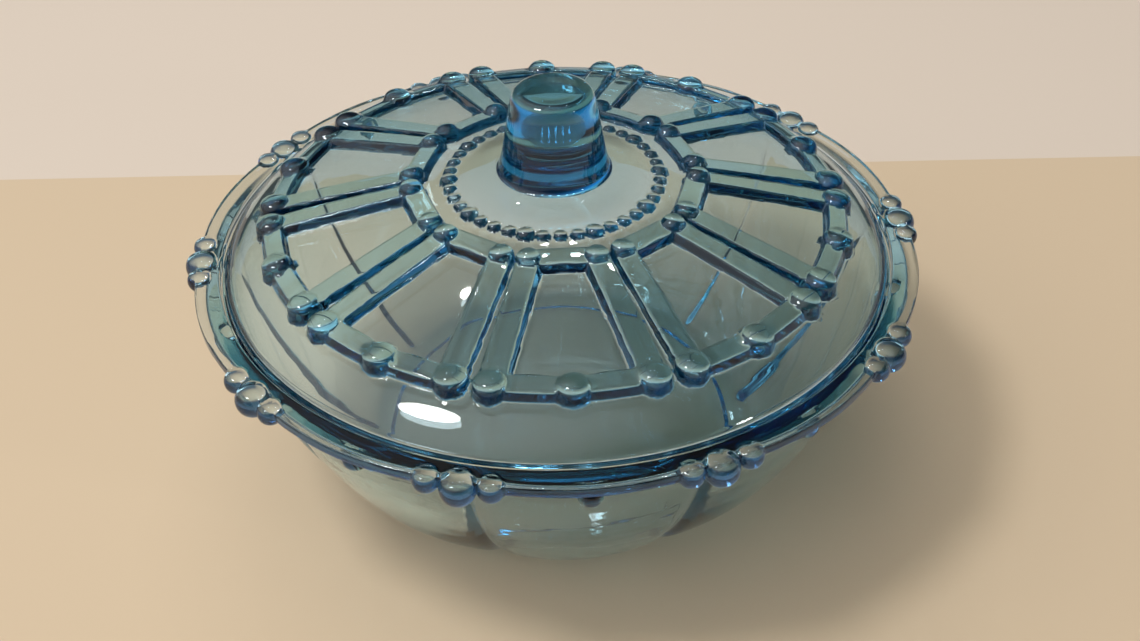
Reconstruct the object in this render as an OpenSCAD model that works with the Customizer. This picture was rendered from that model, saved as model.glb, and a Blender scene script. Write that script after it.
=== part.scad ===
// Covered dish of pressed glass: a ten-lobed bowl with a beaded flange, and a domed lid with beaded frames
// and a solid knob. The origin is at the middle of the foot, on the surface that the dish stands on.

/* [Overall] */
// Diameter of the circle through the centres of the large rim beads
bead_circle_d = 192; // [188:1:196]
// Height of the bowl, from the foot to the top of the flange
bowl_h = 66.3; // [64:0.1:70]
// Height of the whole dish, to the top of the knob
total_h = 111.6; // [108:0.1:116]
// Number of lobes, bead clusters and lid frames
panels = 10; // [10:1:10]

/* [Flange] */
// Thickness of the flange
flange_t = 2.8; // [2.4:0.1:3.2]
// How far the flange reaches past the bead circle between two clusters
flange_reach = 1.5; // [1:0.1:2]
// How far the centre of each scallop of the flange lies from the axis
scallop_offset = 22; // [18:1:26]
// Diameter of the large rim beads
rim_bead_d = 8.8; // [8:0.1:9.4]
// Diameter of the small rim beads
rim_small_d = 6.5; // [6:0.1:7]
// How far the flat crowns of the rim beads stand above the flange
crown_h = 0.6; // [0.4:0.1:0.8]

/* [Bowl] */
// Radius of the wall under the flange, at the middle of a lobe
wall_r = 90.4; // [89.8:0.2:91]
// Thickness of the wall
wall_t = 4.6; // [4.2:0.1:4.8]
// Radius at which the wall meets the foot
foot_r = 55; // [50:1:58]
// Thickness of the floor
floor_t = 5; // [4:0.1:6]
// Depth of the groove between two lobes
groove_depth = 1.8; // [1:0.1:2.2]
// Radius of the cove under the flange
cove_r = 5; // [3:0.5:5]
// Diameter of the bead under the rim on each lobe
wall_bead_d = 6.4; // [6:0.1:7]

/* [Lid] */
// Radius of the edge of the lid
lid_r = 89.6; // [89:0.2:90]
// Radial gap between the edge of the lid and its seat
lid_gap = 0.8; // [0.5:0.1:1.2]
// Depth of the seat below the top of the flange
seat_depth = 2.2; // [1.8:0.1:2.4]
// Thickness of the lid
lid_t = 4.2; // [3.8:0.1:4.6]
// Turn of the lid on its seat, as the dish stands closed
lid_turn = -1.7; // [-18:0.1:18]
// Radius of the circle of the outer frame beads
outer_r = 75.4; // [75:0.2:76]
// Height of the lid's surface above the flange at the outer frame beads
outer_rise = 8.9; // [8.5:0.1:9.5]
// Radius of the circle of the inner frame beads
inner_r = 37.9; // [37:0.1:39]
// Height of the lid's surface above the flange at the inner frame beads
inner_rise = 17.4; // [16.8:0.1:18]
// Radius of the ring of small beads
ring_r = 28; // [27.5:0.1:28.5]
// Diameter of the outer frame beads
outer_bead_d = 8.6; // [8:0.1:9]
// Diameter of the inner frame beads
inner_bead_d = 6.6; // [6:0.1:6.7]
// Width of the bars along the two sides of a frame
side_bar_w = 6; // [5:0.1:6.2]
// Width of the bars across the outer end of a frame
outer_bar_w = 4.8; // [4:0.1:5.4]
// Width of the bar across the inner end of a frame
inner_bar_w = 5.4; // [4.4:0.1:5.8]
// Height of the bars above the lid's surface
bar_h = 1.9; // [1.4:0.1:2.2]

/* [Knob] */
// Radius of the knob at its base
knob_base_r = 14.7; // [14:0.1:15.4]
// Radius of the knob at its top
knob_top_r = 10.4; // [9.6:0.1:11.2]

/* [Hidden] */
$fn = 64;
round_fn = 180;

panel_angle = 360 / panels;
half_angle = panel_angle / 2;
overlap = 1;

// Bowl heights and radii
bead_r = bead_circle_d / 2;
flange_z = bowl_h - flange_t;
flange_r = bead_r + flange_reach;
scallop_r = flange_r - scallop_offset;
foot_w = 6;
foot_recess_r = foot_r - foot_w;
foot_recess_h = 1.2;
seat_z = bowl_h - seat_depth;
seat_r = lid_r + lid_gap;
mouth_inset = 0.4;
mouth_r = wall_r - wall_t - mouth_inset;
floor_inset = 1;
inner_foot_r = foot_r - floor_inset;
groove_w = 5;

// Height of a rim bead's crown above the middle of its ball, as a share of the ball's radius
crown_share = 0.77;

// Each small rim bead touches its large neighbour
cluster_angle = asin((rim_bead_d + rim_small_d) / 2 / bead_r);

// Beads under the rim sit in the cove, a little way in from the face of the wall
wall_bead_drop = 7.1;
wall_bead_inset = 1.4;
wall_bead_r = wall_r - wall_bead_inset;

// The wall follows a flattened curve from the foot, where it lies level, to the flange, where it stands up
curve_rise = 1.6;
curve_bulge = 0.75;
curve_steps = 16;
function wall_curve(t) = pow(1 - pow(1 - t, curve_rise), curve_bulge);
function wall_side(low_r, low_z, high_r, high_z) = [
    for (i = [0 : curve_steps])
        let (t = pow(i / curve_steps, 2))
        [low_r + (high_r - low_r) * wall_curve(t), low_z + (high_z - low_z) * t]
];

// The cove between the wall and the flange is a quarter of a circle
cove_steps = 8;
cove = [
    for (i = [0 : cove_steps])
        let (a = 90 * i / cove_steps)
        [wall_r + cove_r * (1 - cos(a)), flange_z - cove_r * (1 - sin(a))]
];

// Lid heights, measured from the foot
outer_z = bowl_h + outer_rise;
inner_z = bowl_h + inner_rise;
ring_rise = 1.8;
ring_z = inner_z + ring_rise;
crown_rise = 3.2;
crown_z = ring_z + crown_rise;
crown_under_rise = 1.3;
knob_foot_h = 1.1;
knob_base_z = crown_z + knob_foot_h;

// The lid's shoulder bends down from the outer beads to the edge: each point is a run outwards and a drop
shoulder = [[6.1, 2.4], [10.6, 5.3], [13.5, 8.6]];
shoulder_under = [[8.4, 8.6], [4.6, 6.2]];
lid_edge_h = 1.6;
lid_edge_w = 3.4;

// Frame beads: how far each stands from the line between two frames, and how deep its middle lies
outer_spread = 4.7;
inner_spread = 3.4;
bead_sink = 0.7;
ring_per_panel = 4;
ring_large_d = 4.6;
ring_small_d = 3.4;
ring_sink = 0.3;

// The knob's rounded foot and top edge, and the shallow dish in its top
knob_foot_w = 2;
knob_round = 0.6;
knob_edge = 1.8;
knob_rim_w = 3;
knob_dish = 1;

module around(offset_angle = 0) {
    for (i = [0 : panels - 1])
        rotate(offset_angle + i * panel_angle)
            children();
}

// One bead of the rim: a ball with a level crown, hanging below the flange and standing a little above it
module rim_bead(d) {
    crown = crown_share * d / 2;
    translate([bead_r, 0, bowl_h + crown_h - crown])
        rotate_extrude()
            intersection() {
                circle(d = d);
                translate([0, -d])
                    square([d, d + crown]);
            }
}

module rim_cluster() {
    rim_bead(rim_bead_d);
    for (side = [-1, 1])
        rotate(side * cluster_angle)
            rim_bead(rim_small_d);
}

module flange() {
    translate([0, 0, flange_z])
        linear_extrude(flange_t)
            union() {
                around(half_angle)
                    translate([scallop_offset, 0])
                        circle(r = scallop_r, $fn = round_fn);
            }
}

// The outside of the bowl, with the wall's full curve at the middle of every lobe
module wall_body() {
    rotate_extrude($fn = round_fn)
        polygon(concat(
            [[0, 0]],
            wall_side(foot_r, 0, wall_r, flange_z - cove_r - overlap / 2),
            cove,
            [[wall_r + cove_r, flange_z + overlap], [0, flange_z + overlap]]
        ));
}

// A groove that follows the wall from the foot to the cove and parts two lobes
module groove(width, depth) {
    top_z = flange_z - cove_r - overlap;
    rotate([90, 0, 0])
        linear_extrude(width, center = true)
            polygon(concat(
                [[wall_r + depth, -overlap], [foot_r - depth, -overlap]],
                wall_side(foot_r - depth, 0, wall_r - depth, top_z),
                [[wall_r + depth, top_z]]
            ));
}

// The hollow of the bowl, and the seat that the lid rests in
module bowl_space() {
    rotate_extrude($fn = round_fn)
        polygon(concat(
            [[0, floor_t]],
            wall_side(inner_foot_r, floor_t, mouth_r, seat_z),
            [[mouth_r, seat_z + overlap], [0, seat_z + overlap]]
        ));
    translate([0, 0, seat_z])
        cylinder(r = seat_r, h = seat_depth + rim_bead_d, $fn = round_fn);
}

module bowl() {
    color("lightblue")
        difference() {
            union() {
                difference() {
                    wall_body();
                    around() {
                        groove(groove_w, groove_depth / 2);
                        groove(groove_w / 2, groove_depth);
                    }
                }
                flange();
                around()
                    rim_cluster();
                around(half_angle)
                    translate([wall_bead_r, 0, bowl_h - wall_bead_drop])
                        sphere(d = wall_bead_d);
            }
            bowl_space();
            translate([0, 0, -overlap])
                cylinder(r = foot_recess_r, h = overlap + foot_recess_h, $fn = round_fn);
        }
}

// The lid without its ornament: level under the knob, sloping past both circles of beads, and round at the edge
module lid_shell() {
    rotate_extrude($fn = round_fn)
        polygon(concat(
            [[0, crown_z], [knob_base_r + knob_foot_w, crown_z], [ring_r, ring_z], [inner_r, inner_z],
             [outer_r, outer_z]],
            [for (bend = shoulder) [outer_r + bend[0], outer_z - bend[1]]],
            [[lid_r, seat_z + lid_edge_h], [lid_r, seat_z], [lid_r - lid_edge_w, seat_z]],
            [for (bend = shoulder_under) [outer_r + bend[0], outer_z - bend[1]]],
            [[outer_r, outer_z - lid_t], [inner_r, inner_z - lid_t], [ring_r, ring_z - lid_t],
             [0, ring_z - lid_t + crown_under_rise]]
        ));
}

// A straight, flat-topped bar between two points on the lid
module bar(from, to, width) {
    run = to - from;
    length = norm(run);
    translate(from)
        rotate([0, -asin(run[2] / length), atan2(run[1], run[0])])
            translate([0, -width / 2, -overlap])
                cube([length, width, bar_h + overlap]);
}

function on_lid(r, spread, z) = [sqrt(r * r - spread * spread), spread, z];
function turned(p, angle) = [
    p[0] * cos(angle) - p[1] * sin(angle),
    p[0] * sin(angle) + p[1] * cos(angle),
    p[2]
];

module frame_bead(place, d) {
    translate(place - [0, 0, bead_sink])
        sphere(d = d);
}

// One trapezoid frame, about the X axis: four corner beads, a bead in the outer bar, and the bars between them
module frame() {
    outer_low = turned(on_lid(outer_r, outer_spread, outer_z), -half_angle);
    outer_high = turned(on_lid(outer_r, -outer_spread, outer_z), half_angle);
    inner_low = turned(on_lid(inner_r, inner_spread, inner_z), -half_angle);
    inner_high = turned(on_lid(inner_r, -inner_spread, inner_z), half_angle);
    middle = [outer_r, 0, outer_z];
    for (place = [outer_low, outer_high, middle])
        frame_bead(place, outer_bead_d);
    for (place = [inner_low, inner_high])
        frame_bead(place, inner_bead_d);
    bar(outer_low, inner_low, side_bar_w);
    bar(outer_high, inner_high, side_bar_w);
    bar(inner_low, inner_high, inner_bar_w);
    bar(outer_low, middle, outer_bar_w);
    bar(middle, outer_high, outer_bar_w);
}

module bead_ring() {
    for (i = [0 : ring_per_panel - 1])
        rotate(i * panel_angle / ring_per_panel)
            translate([ring_r, 0, ring_z - ring_sink])
                sphere(d = i == 0 ? ring_large_d : ring_small_d);
}

module knob() {
    rotate_extrude($fn = round_fn)
        polygon([
            [0, ring_z],
            [knob_base_r, ring_z],
            [knob_base_r, knob_base_z],
            [knob_top_r + knob_round, total_h - knob_edge],
            [knob_top_r - knob_round / 2, total_h - knob_round],
            [knob_top_r - knob_edge, total_h],
            [knob_top_r - knob_rim_w, total_h],
            [0, total_h - knob_dish]
        ]);
}

module lid() {
    color("skyblue")
        rotate(lid_turn) {
            lid_shell();
            knob();
            around(half_angle)
                frame();
            around()
                bead_ring();
        }
}

bowl();
lid();
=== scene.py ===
"""Covered dish of pressed aqua glass: a lobed bowl with a beaded flange, and its domed, framed lid.

Each piece is one pressing of clear glass. Its surface is written as a distance field over (radius, angle,
height), in millimetres, meshed for one tenth of the dish and copied ten times around the axis.
"""

import math

import bpy
import numpy as np
from mathutils import Matrix, Vector

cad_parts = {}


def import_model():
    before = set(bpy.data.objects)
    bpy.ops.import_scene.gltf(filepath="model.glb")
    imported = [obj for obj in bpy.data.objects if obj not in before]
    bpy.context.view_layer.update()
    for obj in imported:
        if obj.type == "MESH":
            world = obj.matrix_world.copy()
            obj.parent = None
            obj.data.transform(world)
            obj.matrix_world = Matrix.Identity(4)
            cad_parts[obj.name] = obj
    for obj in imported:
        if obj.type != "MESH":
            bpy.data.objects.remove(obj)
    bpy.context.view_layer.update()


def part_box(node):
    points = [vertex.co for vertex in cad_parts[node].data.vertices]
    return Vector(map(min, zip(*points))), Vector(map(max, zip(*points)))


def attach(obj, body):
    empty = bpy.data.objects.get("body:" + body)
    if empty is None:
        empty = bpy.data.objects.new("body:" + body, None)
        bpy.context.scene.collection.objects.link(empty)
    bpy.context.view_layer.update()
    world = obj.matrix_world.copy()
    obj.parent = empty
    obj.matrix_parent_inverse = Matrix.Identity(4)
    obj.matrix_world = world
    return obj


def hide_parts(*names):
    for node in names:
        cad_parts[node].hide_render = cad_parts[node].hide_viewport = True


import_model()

MM = 0.001
FOLD = 10
HALF = math.pi / FOLD

# ---------------------------------------------------------------- sizes from the frame, in millimetres

bowl_high = np.array(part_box("bowl")[1]) / MM
lid_low, lid_high = (np.array(corner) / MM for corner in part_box("lid"))

# Rim beads: the radius of the middle one of each three, and of the two beside it.
RIM_BEAD = 4.4
RIM_SMALL = 3.25
CROWN_H = 0.6
CROWN_TOP = bowl_high[2]
FLANGE_TOP = CROWN_TOP - CROWN_H
FLANGE_T = 2.8
FLANGE_LOW = FLANGE_TOP - FLANGE_T
BEAD_CIRCLE = bowl_high[0] - RIM_BEAD
SEAT_Z = lid_low[2]
LID_R = (lid_high[0] - lid_low[0]) / 2
KNOB_TOP = lid_high[2]
SEAT_PLAY = 0.8
SEAT_R = LID_R + SEAT_PLAY
# The lid's lower edge clears its seat by this much, so the two glasses never share a face.
LID_LIFT = 0.05
LID_TURN = math.radians(-1.7)

# ---------------------------------------------------------------- field tools


def join(a, b, k):
    """The union of two fields, blended over a width of k."""
    h = np.maximum(k - np.abs(a - b), 0) / k
    return np.minimum(a, b) - h * h * k / 4


def cut(a, b, k):
    """The part that two fields share, with its edge rounded over a width of k."""
    return -join(-a, -b, k)


def ease(t):
    """0 to 1 with level ends."""
    t = np.clip(t, 0, 1)
    return t * t * (3 - 2 * t)


def between(low, high, share):
    """The value at a share of the way from low to high."""
    return low + (high - low) * share


def folded(a):
    """The angle from the nearest of the FOLD lines of symmetry that run through angle 0."""
    return np.abs((a + HALF) % (2 * HALF) - HALF)


def smooth_curve(points, steps=14):
    """A polyline through points with round bends: a centripetal Catmull-Rom curve."""
    p = np.array(points, float)
    p = np.vstack([2 * p[0] - p[1], p, 2 * p[-1] - p[-2]])
    knots = np.concatenate([[0], np.cumsum(np.sqrt(np.linalg.norm(np.diff(p, axis=0), axis=1)))])
    out = []
    for i in range(1, len(p) - 2):
        t = np.linspace(knots[i], knots[i + 1], steps, endpoint=False)[:, None]
        k0, k1, k2, k3 = knots[i - 1:i + 3]
        a1 = (k1 - t) / (k1 - k0) * p[i - 1] + (t - k0) / (k1 - k0) * p[i]
        a2 = (k2 - t) / (k2 - k1) * p[i] + (t - k1) / (k2 - k1) * p[i + 1]
        a3 = (k3 - t) / (k3 - k2) * p[i + 1] + (t - k2) / (k3 - k2) * p[i + 2]
        b1 = (k2 - t) / (k2 - k0) * a1 + (t - k0) / (k2 - k0) * a2
        b2 = (k3 - t) / (k3 - k1) * a2 + (t - k1) / (k3 - k1) * a3
        out.append((k2 - t) / (k2 - k1) * b1 + (t - k1) / (k2 - k1) * b2)
    return np.vstack(out + [p[-2:-1]])


def curve_field(curve, r, z):
    """Signed distance from a polyline in the (r, z) plane, positive on its left as it runs."""
    r, z = np.broadcast_arrays(r, z)
    nearest = np.full(r.shape, 1e9)
    field = np.zeros(r.shape)
    for (r0, z0), (r1, z1) in zip(curve[:-1], curve[1:]):
        dr, dz = r1 - r0, z1 - z0
        t = np.clip(((r - r0) * dr + (z - z0) * dz) / (dr * dr + dz * dz), 0, 1)
        gap_r, gap_z = r - r0 - t * dr, z - z0 - t * dz
        distance = np.hypot(gap_r, gap_z)
        closer = distance < nearest
        nearest = np.where(closer, distance, nearest)
        field = np.where(closer, distance * np.sign(dr * gap_z - dz * gap_r), field)
    return field


def button(x, y, z, x0, y0, z0, radius, height, n):
    """A bead: round in plan, upright below z0, and domed above it."""
    plan = np.hypot(x - x0, y - y0) / radius
    rise = np.maximum(z - z0, 0) / height
    return ((plan ** n + rise ** n) ** (1 / n) - 1) * min(radius, height)


# ---------------------------------------------------------------- bowl

FOOT_R = 55.0
FOOT_RECESS = 1.2
FOOT_WIDTH = 6.0
FOOT_ROUND = 0.8
FLOOR_T = 5.0
FLOOR_R = 54.0
WALL_R = 90.4
WALL_T = 5.0
WALL_FULLNESS, WALL_BEND = 1.6, 0.75
WALL_INTO_FLANGE = 1.0
PAST_AXIS, PAST_TOP = -5, 90
# Ten lobes, with a narrow groove in each valley that is deeper and wider near the foot.
LOBE_DEPTH = 1.0
VALLEY_ROUND = math.radians(1.3)
GROOVE_DEPTH_LOW, GROOVE_DEPTH_HIGH = 1.3, 0.4
GROOVE_WIDTH_LOW, GROOVE_WIDTH_HIGH = 2.8, 1.5
LOBE_START_R, LOBE_START_FADE = FOOT_R - 5, 8
LOBE_END_SHARE, LOBE_END_FADE = 0.9, 0.1
# The flange is an arc on each lobe, with a level ledge and then a slant under it.
SCALLOP_CENTRE = 22.0
SCALLOP_REACH = BEAD_CIRCLE + 1.5
FLANGE_SLANT = 1.35
FLANGE_LEDGE = 2.8
FLANGE_ROUND = 0.5
FLANGE_BLEND = 0.7
SLANT_BLEND = 1.5
MOUTH_ROUND = 0.7
# The side beads of a cluster touch the middle one. A crown's height is a share of its bead's radius.
BEAD_OVERLAP = 0.1
CROWN_SHARE = 0.77
CROWN_ROUND = 0.9
BEAD_BLEND = 0.5
UNDER_BEAD = 3.2
UNDER_BEAD_R = 91.0
UNDER_BEAD_DROP = 8.0
UNDER_BEAD_BLEND = 0.4


def wall_curve(low_r, low_z, high_r, high_z, steps=70):
    """The bowl's wall: level where it leaves the foot, upright under the flange."""
    t = np.linspace(0, 1, steps) ** 2
    rise = (1 - (1 - t) ** WALL_FULLNESS) ** WALL_BEND
    return np.column_stack([between(low_r, high_r, rise), between(low_z, high_z, t)])


def wall_line(foot_r, foot_z, mouth_r, mouth_z):
    """A floor, the wall that rises from it, and its upright end above the dish."""
    wall = wall_curve(foot_r, foot_z, mouth_r, mouth_z)
    return np.vstack([[[PAST_AXIS, foot_z]], wall, [[mouth_r, PAST_TOP]]])


OUTER_WALL = wall_line(FOOT_R, 0, WALL_R, FLANGE_LOW)
INNER_WALL = wall_line(FLOOR_R, FLOOR_T, WALL_R - WALL_T, SEAT_Z)
CLUSTER = math.asin((RIM_BEAD + RIM_SMALL - BEAD_OVERLAP) / BEAD_CIRCLE)


def ball(x, y, z, x0, y0, z0, radius):
    """A plain sphere."""
    return np.sqrt((x - x0) ** 2 + (y - y0) ** 2 + (z - z0) ** 2) - radius


def rim_bead(x, y, z, angle, radius):
    """A ball that hangs from the flange, with a level crown."""
    x0, y0 = BEAD_CIRCLE * math.cos(angle), BEAD_CIRCLE * math.sin(angle)
    return cut(ball(x, y, z, x0, y0, CROWN_TOP - CROWN_SHARE * radius, radius), z - CROWN_TOP, CROWN_ROUND)


def lobed_wall(r, a, y, z):
    """The outside of the bowl's wall, with its lobes and the groove between two of them."""
    up = np.clip(z / FLANGE_LOW, 0, 1)
    lobe = LOBE_DEPTH * (1 - (np.hypot(a, VALLEY_ROUND) - VALLEY_ROUND) / HALF) ** 2
    depth = between(GROOVE_DEPTH_LOW, GROOVE_DEPTH_HIGH, up)
    width = between(GROOVE_WIDTH_LOW, GROOVE_WIDTH_HIGH, up)
    groove = depth * np.exp(-(y / width) ** 2)
    start = ease((r - LOBE_START_R) / LOBE_START_FADE)
    end = 1 - ease((up - LOBE_END_SHARE) / LOBE_END_FADE)
    wall = -curve_field(OUTER_WALL, r, z) + (lobe + groove) * start * end
    return cut(wall, z - FLANGE_LOW - WALL_INTO_FLANGE, FLANGE_ROUND)


def flanged(wall, lobe_x, lobe_y, z):
    """The wall with its scalloped flange, and the slanted glass under that."""
    edge = np.hypot(lobe_x - SCALLOP_CENTRE, lobe_y) - (SCALLOP_REACH - SCALLOP_CENTRE)
    flange = cut(edge, FLANGE_LOW - z, FLANGE_ROUND)
    slant = ((edge + FLANGE_LEDGE) * FLANGE_SLANT - (z - FLANGE_LOW)) / math.hypot(1, FLANGE_SLANT)
    return cut(join(join(wall, slant, SLANT_BLEND), flange, FLANGE_BLEND), z - FLANGE_TOP, FLANGE_ROUND)


def bowl_field(r, a, z):
    """Negative inside the glass. Angle 0 is a bead cluster; half a step away is the middle of a lobe."""
    a = folded(a)
    x, y = r * np.cos(a), r * np.sin(a)
    lobe_x, lobe_y = r * np.cos(HALF - a), r * np.sin(HALF - a)
    solid = flanged(lobed_wall(r, a, y, z), lobe_x, lobe_y, z)
    for angle, radius in ((0, RIM_BEAD), (CLUSTER, RIM_SMALL)):
        solid = join(solid, rim_bead(x, y, z, angle, radius), BEAD_BLEND)
    under = ball(lobe_x, lobe_y, z, UNDER_BEAD_R, 0, FLANGE_TOP - UNDER_BEAD_DROP, UNDER_BEAD)
    solid = join(solid, under, UNDER_BEAD_BLEND)
    seat = cut(r - SEAT_R, SEAT_Z - z, FLANGE_ROUND)
    space = join(-curve_field(INNER_WALL, r, z), seat, FLANGE_ROUND)
    foot = cut(r - (FOOT_R - FOOT_WIDTH), z - FOOT_RECESS, FOOT_ROUND)
    return cut(cut(solid, -space, MOUTH_ROUND), -foot, FOOT_ROUND)


# ---------------------------------------------------------------- lid

# The two circles of frame beads, the middle of a panel, the ring of small beads, and the knob's foot.
OUTER_R, OUTER_Z = 75.4, FLANGE_TOP + 8.9
INNER_R, INNER_Z = 37.9, FLANGE_TOP + 17.4
PANEL_R, PANEL_Z = 56.0, 79.9
RING_R, RING_Z = 28.0, FLANGE_TOP + 19.2
KNOB_Z = FLANGE_TOP + 23.5
LID_T = 4.2
LID_TOP = smooth_curve([
    (-8, RING_Z + 3.6), (8, RING_Z + 3.6), (17, RING_Z + 3.2), (RING_R, RING_Z), (INNER_R, INNER_Z),
    (PANEL_R, PANEL_Z), (OUTER_R, OUTER_Z), (81.5, OUTER_Z - 2.4), (86, OUTER_Z - 5.3), (88.9, OUTER_Z - 8.6),
    (90.5, OUTER_Z - 13)])
LID_UNDER = smooth_curve([
    (-8, RING_Z - 2.9), (8, RING_Z - 2.9), (RING_R, RING_Z - LID_T), (INNER_R, INNER_Z - LID_T),
    (PANEL_R, PANEL_Z - LID_T), (OUTER_R, OUTER_Z - LID_T), (80, OUTER_Z - 6.2), (83.8, OUTER_Z - 8.6),
    (86.2, OUTER_Z - 11.2), (87, OUTER_Z - 15)])
KNOB_SIDE = smooth_curve([
    (15.4, RING_Z), (15.2, RING_Z + 2.6), (14.7, KNOB_Z), (14.0, KNOB_Z + 2.6), (12.4, KNOB_Z + 11),
    (11.0, KNOB_TOP - 3), (10.2, KNOB_TOP - 0.9), (8.6, KNOB_TOP), (7.0, KNOB_TOP - 0.25),
    (4, KNOB_TOP - 0.9), (0, KNOB_TOP - 1.1), (-4, KNOB_TOP - 0.9)])
KNOB_SINK = 1.0
KNOB_BLEND = 0.7
LID_EDGE_ROUND = 0.7
LID_UNDER_ROUND = 0.8
LID_SEAT_ROUND = 0.6
# Frame bars. A spread is a corner's distance from the line between two frames, an edge is how far a side bar
# reaches from that line, and a lean is how far a flank spreads for each millimetre it falls.
BAR_H = 2.3
OUTER_SPREAD, INNER_SPREAD = 4.7, 3.4
BAR_EDGE_OUTER, BAR_EDGE_INNER = 7.9, 6.2
OUTER_BAR_HALF, INNER_BAR_HALF = 2.4, 2.7
PANEL_LEAN, GAP_LEAN, BAR_LEAN = 0.5, 0.15, 0.35
BAR_TOP_ROUND = 0.4
BAR_CORNER_BLEND = 0.5
BAR_BLEND = 0.15
# Frame beads: radius, height of the upright part, height of the dome above it, and how full the dome is.
OUTER_BEAD, INNER_BEAD = 4.2, 3.2
BEAD_UPRIGHT, BEAD_DOME, BEAD_FULLNESS = 1.7, 2.7, 2.2
FRAME_BEAD_BLEND = 0.3
# The ring has four beads to each tenth of the dish, and the one on the line between two frames is larger.
RING_STEPS = 4
RING_LARGE, RING_SMALL = 2.3, 1.7
RING_UPRIGHT, RING_DOME_SHARE, RING_FULLNESS = 0.2, 0.75, 2
RING_BLEND = 0.2


def corner(radius, spread):
    """The plan place of a frame's corner, at a sideways distance from the line between two frames."""
    return math.sqrt(radius ** 2 - spread ** 2), spread


def mirrored(point):
    """The same point past the middle of the panel."""
    angle = 2 * HALF - math.atan2(point[1], point[0])
    return math.hypot(*point) * math.cos(angle), math.hypot(*point) * math.sin(angle)


def bar(x, y, high, start, end, half_start, half_end, lean_left=BAR_LEAN, lean_right=BAR_LEAN):
    """A flat-topped bar between two plan points, where high is the height above the bar's own top."""
    dx, dy = end[0] - start[0], end[1] - start[1]
    t = np.clip(((x - start[0]) * dx + (y - start[1]) * dy) / (dx * dx + dy * dy), 0, 1)
    off_x, off_y = x - start[0] - t * dx, y - start[1] - t * dy
    side = np.hypot(off_x, off_y) - between(half_start, half_end, t)
    lean = np.where(dx * off_y - dy * off_x > 0, lean_left, lean_right)
    return cut((side + high * lean) / np.hypot(1, lean), high, BAR_TOP_ROUND)


def framed(lid, x, y, z):
    """The lid with its frames: bars, and beads at the corners and at the middle of each outer bar."""
    outer, inner = corner(OUTER_R, OUTER_SPREAD), corner(INNER_R, INNER_SPREAD)
    middle = OUTER_R * math.cos(HALF), OUTER_R * math.sin(HALF)
    high = lid - BAR_H
    bars = bar(x, y, high, inner, outer, BAR_EDGE_INNER - INNER_SPREAD, BAR_EDGE_OUTER - OUTER_SPREAD,
               PANEL_LEAN, GAP_LEAN)
    bars = join(bars, bar(x, y, high, outer, middle, OUTER_BAR_HALF, OUTER_BAR_HALF), BAR_CORNER_BLEND)
    inner_bar = bar(x, y, high, inner, mirrored(inner), INNER_BAR_HALF, INNER_BAR_HALF)
    bars = join(bars, inner_bar, BAR_CORNER_BLEND)
    solid = join(lid, bars, BAR_BLEND)
    for (x0, y0), z0, radius in ((outer, OUTER_Z, OUTER_BEAD), (middle, OUTER_Z, OUTER_BEAD),
                                 (inner, INNER_Z, INNER_BEAD)):
        bead = button(x, y, z, x0, y0, z0 + BEAD_UPRIGHT, radius, BEAD_DOME, BEAD_FULLNESS)
        solid = join(solid, bead, FRAME_BEAD_BLEND)
    return solid


def ringed(solid, x, y, z):
    """The lid with its ring of small beads."""
    for step in range(RING_STEPS // 2 + 1):
        angle = step * 2 * HALF / RING_STEPS
        radius = RING_LARGE if step == 0 else RING_SMALL
        bead = button(x, y, z, RING_R * math.cos(angle), RING_R * math.sin(angle), RING_Z + RING_UPRIGHT,
                      radius, radius * RING_DOME_SHARE, RING_FULLNESS)
        solid = join(solid, bead, RING_BLEND)
    return solid


def lid_field(r, a, z):
    """Negative inside the glass. Angle 0 is the line between two frames; half a step away is mid-panel."""
    a = folded(a)
    x, y = r * np.cos(a), r * np.sin(a)
    solid = ringed(framed(curve_field(LID_TOP, r, z), x, y, z), x, y, z)
    knob = np.maximum(-curve_field(KNOB_SIDE, r, z), RING_Z - KNOB_SINK - z)
    solid = join(solid, knob, KNOB_BLEND)
    solid = cut(solid, r - LID_R, LID_EDGE_ROUND)
    solid = cut(solid, -curve_field(LID_UNDER, r, z), LID_UNDER_ROUND)
    return cut(solid, SEAT_Z + LID_LIFT - z, LID_SEAT_ROUND)


# ---------------------------------------------------------------- meshing


def spaced(*stretches):
    """Grid lines: each stretch is (where it ends, spacing), after a first number where the grid starts."""
    lines = [stretches[0]]
    for end, step in stretches[1:]:
        count = max(1, round((end - lines[-1]) / step))
        lines.extend(np.linspace(lines[-1], end, count + 1)[1:])
    return np.array(lines, float)


def mirror_lines(lines):
    """Grid lines on both sides of zero."""
    return np.concatenate([-lines[:0:-1], lines])


def crossings(field, grid, axis):
    """Where the surface crosses the grid lines along one axis: a mask, and the place along that axis."""
    low = np.take(field, range(field.shape[axis] - 1), axis)
    high = np.take(field, range(1, field.shape[axis]), axis)
    crossed = (low < 0) != (high < 0)
    share = np.where(crossed, low / np.where(crossed, low - high, 1), 0)
    shape = [1, 1, 1]
    shape[axis] = -1
    start, step = grid[axis][:-1].reshape(shape), np.diff(grid[axis]).reshape(shape)
    return crossed, start + share * step, low < 0


NEWTON_NUDGE = 0.02
NORMAL_NUDGE = 0.1
FLATTEST_SLOPE = 0.05
LONGEST_STEP = 0.5


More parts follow.
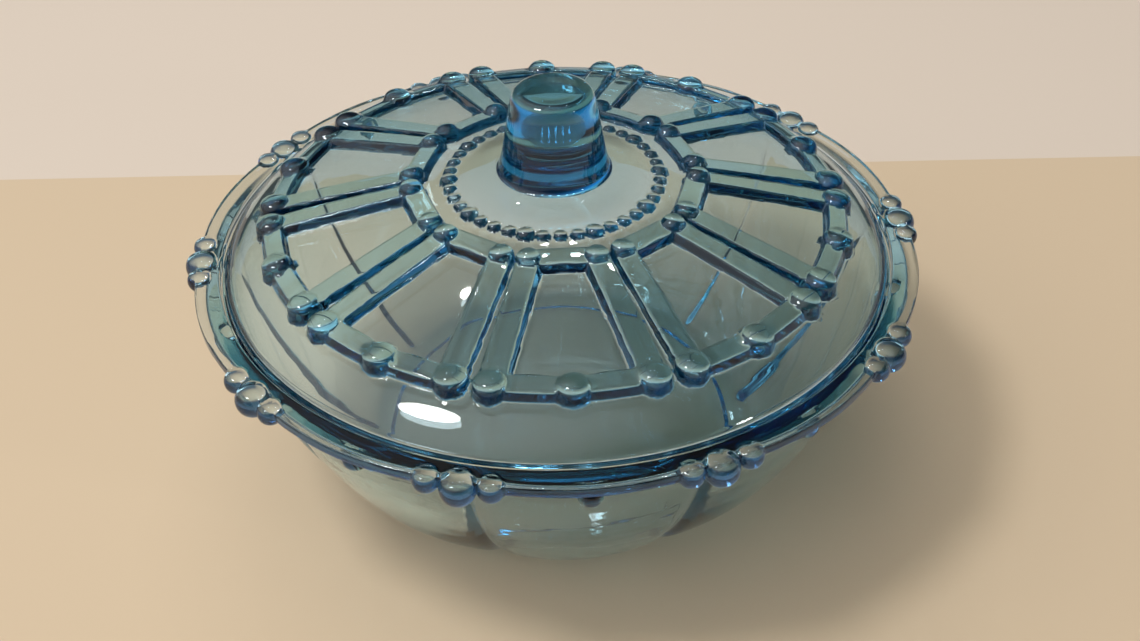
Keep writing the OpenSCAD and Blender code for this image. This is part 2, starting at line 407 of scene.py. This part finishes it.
def settle(field_of, points, rounds=4):
    """Newton steps onto the surface, along the field's slope. Returns (x, y, z) points and their normals."""
    def value(p):
        return field_of(np.hypot(p[:, 0], p[:, 1]), np.arctan2(p[:, 1], p[:, 0]), p[:, 2])

    def slopes(p, nudge):
        rises = [value(p + nudge * axis) - value(p - nudge * axis) for axis in np.eye(3)]
        return np.stack(rises, 1) / (2 * nudge)

    for _ in range(rounds):
        slope = slopes(points, NEWTON_NUDGE)
        step = value(points)[:, None] * slope / np.maximum((slope ** 2).sum(1), FLATTEST_SLOPE)[:, None]
        length = np.linalg.norm(step, axis=1, keepdims=True)
        points = points - step * np.minimum(1, LONGEST_STEP / np.maximum(length, 1e-9))
    slope = slopes(points, NORMAL_NUDGE)
    return points, slope / np.linalg.norm(slope, axis=1, keepdims=True)


def even(r, a):
    """Grid lines of constant angle."""
    return a


def along_bars(r, u):
    """Grid lines that follow the lid's side bars: u is 1 at a bar's panel-side edge and 2 at mid-panel."""
    along = np.clip((r - INNER_R) / (OUTER_R - INNER_R), 0, 1)
    edge = between(BAR_EDGE_INNER, BAR_EDGE_OUTER, along) / between(INNER_R, OUTER_R, along)
    angle = np.abs(u)
    return np.sign(u) * np.where(angle < 1, angle * edge, edge + (angle - 1) * (HALF - edge))


def spun(points, angle):
    """The points turned about the axis."""
    c, s = math.cos(angle), math.sin(angle)
    return points @ np.array([[c, s, 0], [-s, c, 0], [0, 0, 1]])


def cell_points(grid, shape, edges):
    """One point in each grid cell that the surface crosses, at the mean of its crossings.

    Returns the points along each axis of the grid, and for every cell the number of its point, or -1.
    """
    cells = tuple(len(lines) - 1 for lines in grid)
    total, count = np.zeros((*cells, 3)), np.zeros(cells)
    for axis, (crossed, place, _) in enumerate(edges):
        where = [np.broadcast_to(lines.reshape([-1 if i == n else 1 for i in range(3)]), shape)
                 for n, lines in enumerate(grid)]
        where = [np.take(w, range(crossed.shape[axis]), axis) for w in where]
        where[axis] = place
        others = [n for n in range(3) if n != axis]
        for shifts in ((0, 0), (0, 1), (1, 0), (1, 1)):
            part = [slice(None)] * 3
            for other, shift in zip(others, shifts):
                part[other] = slice(shift, shift + cells[other])
            part = tuple(part)
            count += crossed[part]
            for n in range(3):
                total[..., n] += np.where(crossed[part], where[n][part], 0)
    used = count > 0
    numbers = np.full(cells, -1)
    numbers[used] = np.arange(used.sum())
    return (total[used] / count[used][:, None]).T, numbers


# The four cells around a grid edge that runs along each axis.
AROUND = (((0, 0, 0), (0, -1, 0), (0, -1, -1), (0, 0, -1)),
          ((0, 0, 0), (0, 0, -1), (-1, 0, -1), (-1, 0, 0)),
          ((0, 0, 0), (-1, 0, 0), (-1, -1, 0), (0, -1, 0)))


def wedge_faces(edges, numbers, wedge):
    """One outward face for each grid edge of a wedge that the surface crosses."""
    per_wedge, cells_round = numbers.max() + 1, numbers.shape[1]
    faces = []
    for axis, (crossed, _, inward) in enumerate(edges):
        i, j, k = np.nonzero(crossed)
        keep = (j < cells_round) & ((i > 0) | (axis == 0))
        i, j, k = i[keep], j[keep], k[keep]
        corners = []
        for di, dj, dk in AROUND[axis]:
            # A cell one step before the wedge is the last cell of the wedge before.
            owner = (wedge + np.floor_divide(j + dj, cells_round)) % FOLD
            corners.append(owner * per_wedge + numbers[i + di, (j + dj) % cells_round, k + dk])
        quad = np.stack(corners, 1)
        flip = ~inward[i, j, k]
        quad[flip] = quad[flip][:, ::-1]
        faces.append(quad)
    return np.vstack(faces)


def axis_fans(upright_edges, numbers):
    """The points where the surface crosses the axis, their normals, and the triangles around them."""
    crossed, place, inward = upright_edges
    per_wedge = numbers.max() + 1
    points, normals, triangles = [], [], []
    for k in np.nonzero(crossed[0, 0])[0]:
        centre = FOLD * per_wedge + len(points)
        points.append((0, 0, place[0, 0, k]))
        normals.append((0, 0, 1 if inward[0, 0, k] else -1))
        ring = np.concatenate([wedge * per_wedge + numbers[0, :, k] for wedge in range(FOLD)])
        fan = np.column_stack([np.full(len(ring), centre), ring, np.roll(ring, -1)])
        triangles.extend((fan if inward[0, 0, k] else fan[:, ::-1]).tolist())
    return np.array(points), np.array(normals), triangles


def wedge_mesh(name, field_of, radii, angles, heights, angle_of=even, turn=0.0):
    """A closed mesh of the zero surface of a field that repeats FOLD times around the axis."""
    grid = (radii, angles, heights)
    line_angles = angle_of(radii[:, None], angles[None, :])
    field = field_of(radii[:, None, None], line_angles[:, :, None], heights[None, None, :])
    edges = [crossings(field, grid, axis) for axis in range(3)]
    (r, a, z), numbers = cell_points(grid, field.shape, edges)
    a = angle_of(r, a)
    points, normals = settle(field_of, np.column_stack([r * np.cos(a), r * np.sin(a), z]))
    faces = np.vstack([wedge_faces(edges, numbers, wedge) for wedge in range(FOLD)])
    axis_points, axis_normals, triangles = axis_fans(edges[2], numbers)
    turns = [turn + wedge * 2 * HALF for wedge in range(FOLD)]
    mesh = bpy.data.meshes.new(name)
    every_point = np.vstack([spun(points, angle) for angle in turns] + [axis_points])
    mesh.from_pydata(every_point * MM, [], faces.tolist() + triangles)
    mesh.shade_smooth()
    mesh.normals_split_custom_set_from_vertices(
        np.vstack([spun(normals, angle) for angle in turns] + [axis_normals]))
    piece = bpy.data.objects.new(name, mesh)
    bpy.context.scene.collection.objects.link(piece)
    return piece


# Grid lines for each piece, fine where the beads, bars and edges are. Lengths are in millimetres, and
# LID_BAR_LINES is in the units of along_bars.
BOWL_RADII = spaced(0, (46, 5.8), (58, 1.5), (84, 1.9), (88.8, 1.2), (101.2, 0.65))
BOWL_DEGREES = mirror_lines(spaced(0, (8.4, 0.53), (15.2, 2.3), (18, 0.7)))
BOWL_HEIGHTS = spaced(-0.9, (2.1, 0.6), (6.6, 0.9), (50, 2.0), (56, 1.3), (67.4, 0.58))
LID_RADII = spaced(0, (6, 2), (16.8, 1.8), (25, 2), (31, 0.6), (34, 1), (42, 0.73), (70.8, 2.9), (80.4, 0.7),
                   (90.1, 1.2))
LID_BAR_LINES = mirror_lines(spaced(0, (1, 0.08), (1.2, 0.05), (1.7, 0.125), (2, 0.06)))
LID_HEIGHTS = spaced(63.6, (66, 0.6), (88, 1.6), (112.2, 1.4))

bowl_piece = wedge_mesh("bowl_glass", bowl_field, BOWL_RADII, np.radians(BOWL_DEGREES), BOWL_HEIGHTS)
lid_piece = wedge_mesh("lid_glass", lid_field, LID_RADII, LID_BAR_LINES, LID_HEIGHTS,
                       angle_of=along_bars, turn=LID_TURN)

# ---------------------------------------------------------------- materials

# Painted shade: deep blues painted on steep glass at the rim, on the flanks of frames and beads, and at the
# knob's foot, where light guided inside the glass looks navy; a painted teal shade for the tops of bars and
# beads; and glass that has no tint.
RIM_PAINTED_SHADE = (0.02, 0.08, 0.26)
FLANK_PAINTED_SHADE = (0.07, 0.22, 0.38)
KNOB_FOOT_PAINTED_SHADE = (0.06, 0.4, 0.85)
TOP_PAINTED_SHADE = (0.6, 0.86, 0.92)
CLEAR = (1, 1, 1)
# Where the painted shade applies, in millimetres: radii, heights over the floor, and for TOP_H and FLANK_H
# heights over the lid's panels. STEEP is how upright a surface's normal is where the painted blue begins, and
# where it is full.
RIM_SHADE_R = BEAD_CIRCLE - 2.7
FRAME_SHADE_R = 33.5, 81.5
FRAME_SHADE_Z = 68.5
KNOB_SHADE_R, KNOB_SHADE_Z = 18.5, KNOB_Z + 7
TOP_H, TOP_FEATHER = 1.35, 0.45
FLANK_H = BAR_H + 0.4
FINE_FEATHER = 0.4
STEEP_FROM, STEEP_FULL = 0.8, 0.5


def ramp(tree, value, low, high):
    """0 below low and 1 above high, or the other way round, eased between them."""
    node = tree.nodes.new("ShaderNodeMapRange")
    node.interpolation_type = "SMOOTHSTEP"
    node.inputs["From Min"].default_value = min(low, high)
    node.inputs["From Max"].default_value = max(low, high)
    node.inputs["To Min"].default_value = 0 if low < high else 1
    node.inputs["To Max"].default_value = 1 if low < high else 0
    tree.links.new(value, node.inputs["Value"])
    return node.outputs["Result"]


def past(tree, value, edge, feather=0.5):
    """1 where a length is past an edge in millimetres, and 0 before it."""
    return ramp(tree, value, (edge - feather) * MM, (edge + feather) * MM)


def before(tree, value, edge, feather=0.5):
    """1 where a length is before an edge in millimetres, and 0 past it."""
    return ramp(tree, value, (edge + feather) * MM, (edge - feather) * MM)


def calculate(tree, operation, *values):
    """One Math node on sockets or numbers."""
    node = tree.nodes.new("ShaderNodeMath")
    node.operation = operation
    for slot, value in zip(node.inputs, values):
        if isinstance(value, (int, float)):
            slot.default_value = value
        else:
            tree.links.new(value, slot)
    return node.outputs["Value"]


def product(tree, first, *others):
    """Several sockets multiplied together."""
    for other in others:
        first = calculate(tree, "MULTIPLY", first, other)
    return first


def parted(tree, vector):
    """The x, y and z sockets of a vector."""
    node = tree.nodes.new("ShaderNodeSeparateXYZ")
    tree.links.new(vector, node.inputs["Vector"])
    return [node.outputs[axis] for axis in "XYZ"]


def tinted(tree, under, colour, share):
    """A colour laid over another one, by a share from 0 to 1. Under is a socket or a colour."""
    node = tree.nodes.new("ShaderNodeMix")
    node.data_type = "RGBA"
    if isinstance(under, tuple):
        node.inputs["A"].default_value = (*under, 1)
    else:
        tree.links.new(under, node.inputs["A"])
    node.inputs["B"].default_value = (*colour, 1)
    tree.links.new(share, node.inputs["Factor"])
    return node.outputs["Result"]


def painted_edge_shade(tree, place):
    """Painted shade: a deep blue painted into the colour of the glass's steep edges, standing in for light
    that runs along inside the glass and comes out of them in the deepest blue.

    That holds for the flange's edge and beads, the flanks of the lid's bars and beads, and the knob's foot.
    The tops of bars and beads get a painted teal shade.
    """
    normal_z = parted(tree, tree.nodes.new("ShaderNodeNewGeometry").outputs["Normal"])[2]
    steep = ramp(tree, calculate(tree, "ABSOLUTE", normal_z), STEEP_FROM, STEEP_FULL)
    x, y, z = parted(tree, place)
    across = calculate(tree, "SQRT", calculate(tree, "ADD", product(tree, x, x), product(tree, y, y)))
    # Painted shade: deep blue painted on the steep rim, the flanks of frames and beads, and the knob's foot.
    rim_shade = product(tree, steep, past(tree, across, RIM_SHADE_R))
    frames = product(tree, past(tree, across, FRAME_SHADE_R[0]), before(tree, across, FRAME_SHADE_R[1]),
                     past(tree, z, FRAME_SHADE_Z))
    # Panels fall evenly outwards, so the height plus that fall tells bars from panels anywhere on the lid.
    fall = (INNER_Z - OUTER_Z) / (OUTER_R - INNER_R)
    panel = INNER_Z + INNER_R * fall
    height = calculate(tree, "ADD", z, calculate(tree, "MULTIPLY", across, fall))
    # Painted shade: a teal darkening painted on the tops of bars and beads.
    top_shade = product(tree, frames, past(tree, height, panel + TOP_H, TOP_FEATHER))
    flank_shade = product(tree, steep, frames, before(tree, height, panel + FLANK_H, FINE_FEATHER))
    knob_foot_shade = product(tree, steep, before(tree, across, KNOB_SHADE_R),
                        before(tree, z, KNOB_SHADE_Z, FINE_FEATHER))
    # Each tint below is painted shade laid over the clear glass.
    colour = tinted(tree, CLEAR, TOP_PAINTED_SHADE, top_shade)
    colour = tinted(tree, colour, FLANK_PAINTED_SHADE, flank_shade)
    colour = tinted(tree, colour, RIM_PAINTED_SHADE, rim_shade)
    return tinted(tree, colour, KNOB_FOOT_PAINTED_SHADE, knob_foot_shade)


IOR = 1.51
# How much red, green and blue the glass lets through, and how strongly, for each metre of it.
ABSORPTION_COLOUR = (0.04, 0.6, 0.765)
ABSORPTION_DENSITY = 50
WAVE_SCALE, WAVE_DETAIL, WAVE_STRENGTH, WAVE_HEIGHT = 55, 1.5, 0.15, 0.0006
HAZE_SCALE, HAZE_DETAIL, HAZE_MOST = 90, 4, 0.045
HAZE_FROM, HAZE_TO = 0.45, 0.75


def noise(tree, place, scale, detail):
    """Smooth noise on the object's own coordinates."""
    node = tree.nodes.new("ShaderNodeTexNoise")
    node.inputs["Scale"].default_value = scale
    node.inputs["Detail"].default_value = detail
    tree.links.new(place, node.inputs["Vector"])
    return node.outputs["Fac"]


def wavy(tree, place):
    """The faint waves of pressed glass."""
    bump = tree.nodes.new("ShaderNodeBump")
    bump.inputs["Strength"].default_value = WAVE_STRENGTH
    bump.inputs["Distance"].default_value = WAVE_HEIGHT
    tree.links.new(noise(tree, place, WAVE_SCALE, WAVE_DETAIL), bump.inputs["Height"])
    return bump.outputs["Normal"]


def hazy(tree, place):
    """Faint patches of roughness."""
    haze = tree.nodes.new("ShaderNodeMapRange")
    haze.inputs["From Min"].default_value = HAZE_FROM
    haze.inputs["From Max"].default_value = HAZE_TO
    haze.inputs["To Max"].default_value = HAZE_MOST
    tree.links.new(noise(tree, place, HAZE_SCALE, HAZE_DETAIL), haze.inputs["Value"])
    return haze.outputs["Result"]


def glass():
    """Pressed aqua glass: clear, faintly wavy, and bluer the further the light runs inside it, with painted
    shade on its steep edges and on the tops of its bars and beads.
    """
    material = bpy.data.materials.new("aqua_glass")
    material.use_nodes = True
    tree = material.node_tree
    shader = tree.nodes["Principled BSDF"]
    shader.inputs["Transmission Weight"].default_value = 1
    shader.inputs["IOR"].default_value = IOR
    place = tree.nodes.new("ShaderNodeTexCoord").outputs["Object"]
    tree.links.new(painted_edge_shade(tree, place), shader.inputs["Base Color"])
    tree.links.new(wavy(tree, place), shader.inputs["Normal"])
    tree.links.new(hazy(tree, place), shader.inputs["Roughness"])
    tint = tree.nodes.new("ShaderNodeVolumeAbsorption")
    tint.inputs["Color"].default_value = (*ABSORPTION_COLOUR, 1)
    tint.inputs["Density"].default_value = ABSORPTION_DENSITY
    tree.links.new(tint.outputs["Volume"], tree.nodes["Material Output"].inputs["Volume"])
    return material


def cloth(name, colour):
    """A matt finish for the floor and the backdrop."""
    material = bpy.data.materials.new(name)
    material.use_nodes = True
    shader = material.node_tree.nodes["Principled BSDF"]
    shader.inputs["Base Color"].default_value = (*colour, 1)
    shader.inputs["Roughness"].default_value = 0.95
    shader.inputs["Specular IOR Level"].default_value = 0.1
    return material


aqua = glass()
for piece, node, body in ((bowl_piece, "bowl", "bowl"), (lid_piece, "lid", "lid")):
    piece.data.materials.append(aqua)
    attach(piece, body)
    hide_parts(node)

# ---------------------------------------------------------------- stage, lights and camera

# The camera's place around the middle of the rim, in metres and degrees, and its turns about its own axes.
CAMERA_DISTANCE = 0.3828
CAMERA_ELEVATION = math.radians(35.12)
CAMERA_AZIMUTH = math.radians(-94.14)
AIM_YAW = math.radians(-0.51)
AIM_PITCH = math.radians(-3.15)
AIM_ROLL = math.radians(-1.22)
LENS = 43.87
SHEET_REACH = 3.0
FLOOR_EDGE = 0.141
FLOOR_Z, BACKDROP_Z = -0.0001, -0.0006


def sheet(name, far_edge, z, material):
    """A level sheet from well in front of the dish to a far edge, square to the camera's view."""
    mesh = bpy.data.meshes.new(name)
    corners = [(-SHEET_REACH, -SHEET_REACH, z), (SHEET_REACH, -SHEET_REACH, z),
               (SHEET_REACH, far_edge, z), (-SHEET_REACH, far_edge, z)]
    mesh.from_pydata(corners, [], [(0, 1, 2, 3)])
    mesh.materials.append(material)
    made = bpy.data.objects.new(name, mesh)
    made.rotation_euler.z = CAMERA_AZIMUTH + math.pi / 2
    bpy.context.scene.collection.objects.link(made)


sheet("floor", FLOOR_EDGE, FLOOR_Z, cloth("cream_floor", (0.66, 0.52, 0.36)))
sheet("backdrop", SHEET_REACH, BACKDROP_Z, cloth("pale_backdrop", (0.71, 0.61, 0.51)))


def direction(azimuth, elevation):
    """A unit vector towards a place in the sky. Azimuth 0 is along +X and -90 is towards the camera."""
    a, e = math.radians(azimuth), math.radians(elevation)
    return Vector((math.cos(a) * math.cos(e), math.sin(a) * math.cos(e), math.sin(e)))


LAMP_AIM = Vector((0, 0, 0.06))


def lamp(name, azimuth, elevation, distance, size, power):
    """A round lamp that points at the dish."""
    light = bpy.data.lights.new(name, "AREA")
    light.shape = "DISK"
    light.size = size
    light.energy = power
    made = bpy.data.objects.new(name, light)
    towards = direction(azimuth, elevation)
    made.location = LAMP_AIM + towards * distance
    made.rotation_mode = "QUATERNION"
    made.rotation_quaternion = towards.to_track_quat("Z", "Y")
    bpy.context.scene.collection.objects.link(made)


def soft_light(azimuth, elevation, colour, dim, bright, spread):
    """The studio's light comes from all around, and swells smoothly towards one side."""
    world = bpy.data.worlds.new("studio")
    bpy.context.scene.world = world
    world.use_nodes = True
    nodes, links = world.node_tree.nodes, world.node_tree.links
    towards = nodes.new("ShaderNodeVectorMath")
    towards.operation = "DOT_PRODUCT"
    towards.inputs[1].default_value = direction(azimuth, elevation)
    links.new(nodes.new("ShaderNodeTexCoord").outputs["Generated"], towards.inputs[0])
    swell = nodes.new("ShaderNodeMapRange")
    swell.interpolation_type = "SMOOTHSTEP"
    swell.inputs["From Min"].default_value = math.cos(math.radians(spread))
    swell.inputs["From Max"].default_value = 1.0
    swell.inputs["To Min"].default_value = dim
    swell.inputs["To Max"].default_value = bright
    links.new(towards.outputs["Value"], swell.inputs["Value"])
    background = nodes["Background"]
    background.inputs["Color"].default_value = (*colour, 1)
    links.new(swell.outputs["Result"], background.inputs["Strength"])


lamp("key", -162, 62, distance=1.2, size=0.28, power=5.5)
lamp("spot_right", -38, 18, distance=1.2, size=0.12, power=0.8)
for n in range(5):
    lamp(f"small_{n}", 70 + 10 * n, 58, distance=1.3, size=0.035, power=0.25)
soft_light(-170, 52, colour=(1.0, 0.98, 0.96), dim=0.06, bright=1.4, spread=72)


def make_camera():
    """The camera looks at the middle of the rim's plane, then turns a little about its own axes."""
    data = bpy.data.cameras.new("camera")
    data.sensor_width = 36
    data.lens = LENS
    data.clip_start = 0.01
    camera = bpy.data.objects.new("camera", data)
    bpy.context.scene.collection.objects.link(camera)
    back = direction(math.degrees(CAMERA_AZIMUTH), math.degrees(CAMERA_ELEVATION))
    aim = Vector((0, 0, FLANGE_LOW * MM))
    look = back.to_track_quat("Z", "Y").to_matrix()
    for turn, axis in ((AIM_YAW, "Y"), (AIM_PITCH, "X"), (AIM_ROLL, "Z")):
        look = look @ Matrix.Rotation(turn, 3, axis)
    camera.matrix_world = Matrix.Translation(aim + back * CAMERA_DISTANCE) @ look.to_4x4()
    bpy.context.scene.camera = camera


make_camera()
scene = bpy.context.scene
scene.cycles.max_bounces = 28
scene.cycles.transmission_bounces = 28
scene.cycles.glossy_bounces = 16
scene.cycles.transparent_max_bounces = 16
scene.view_settings.view_transform = "Standard"

bpy.context.view_layer.update()
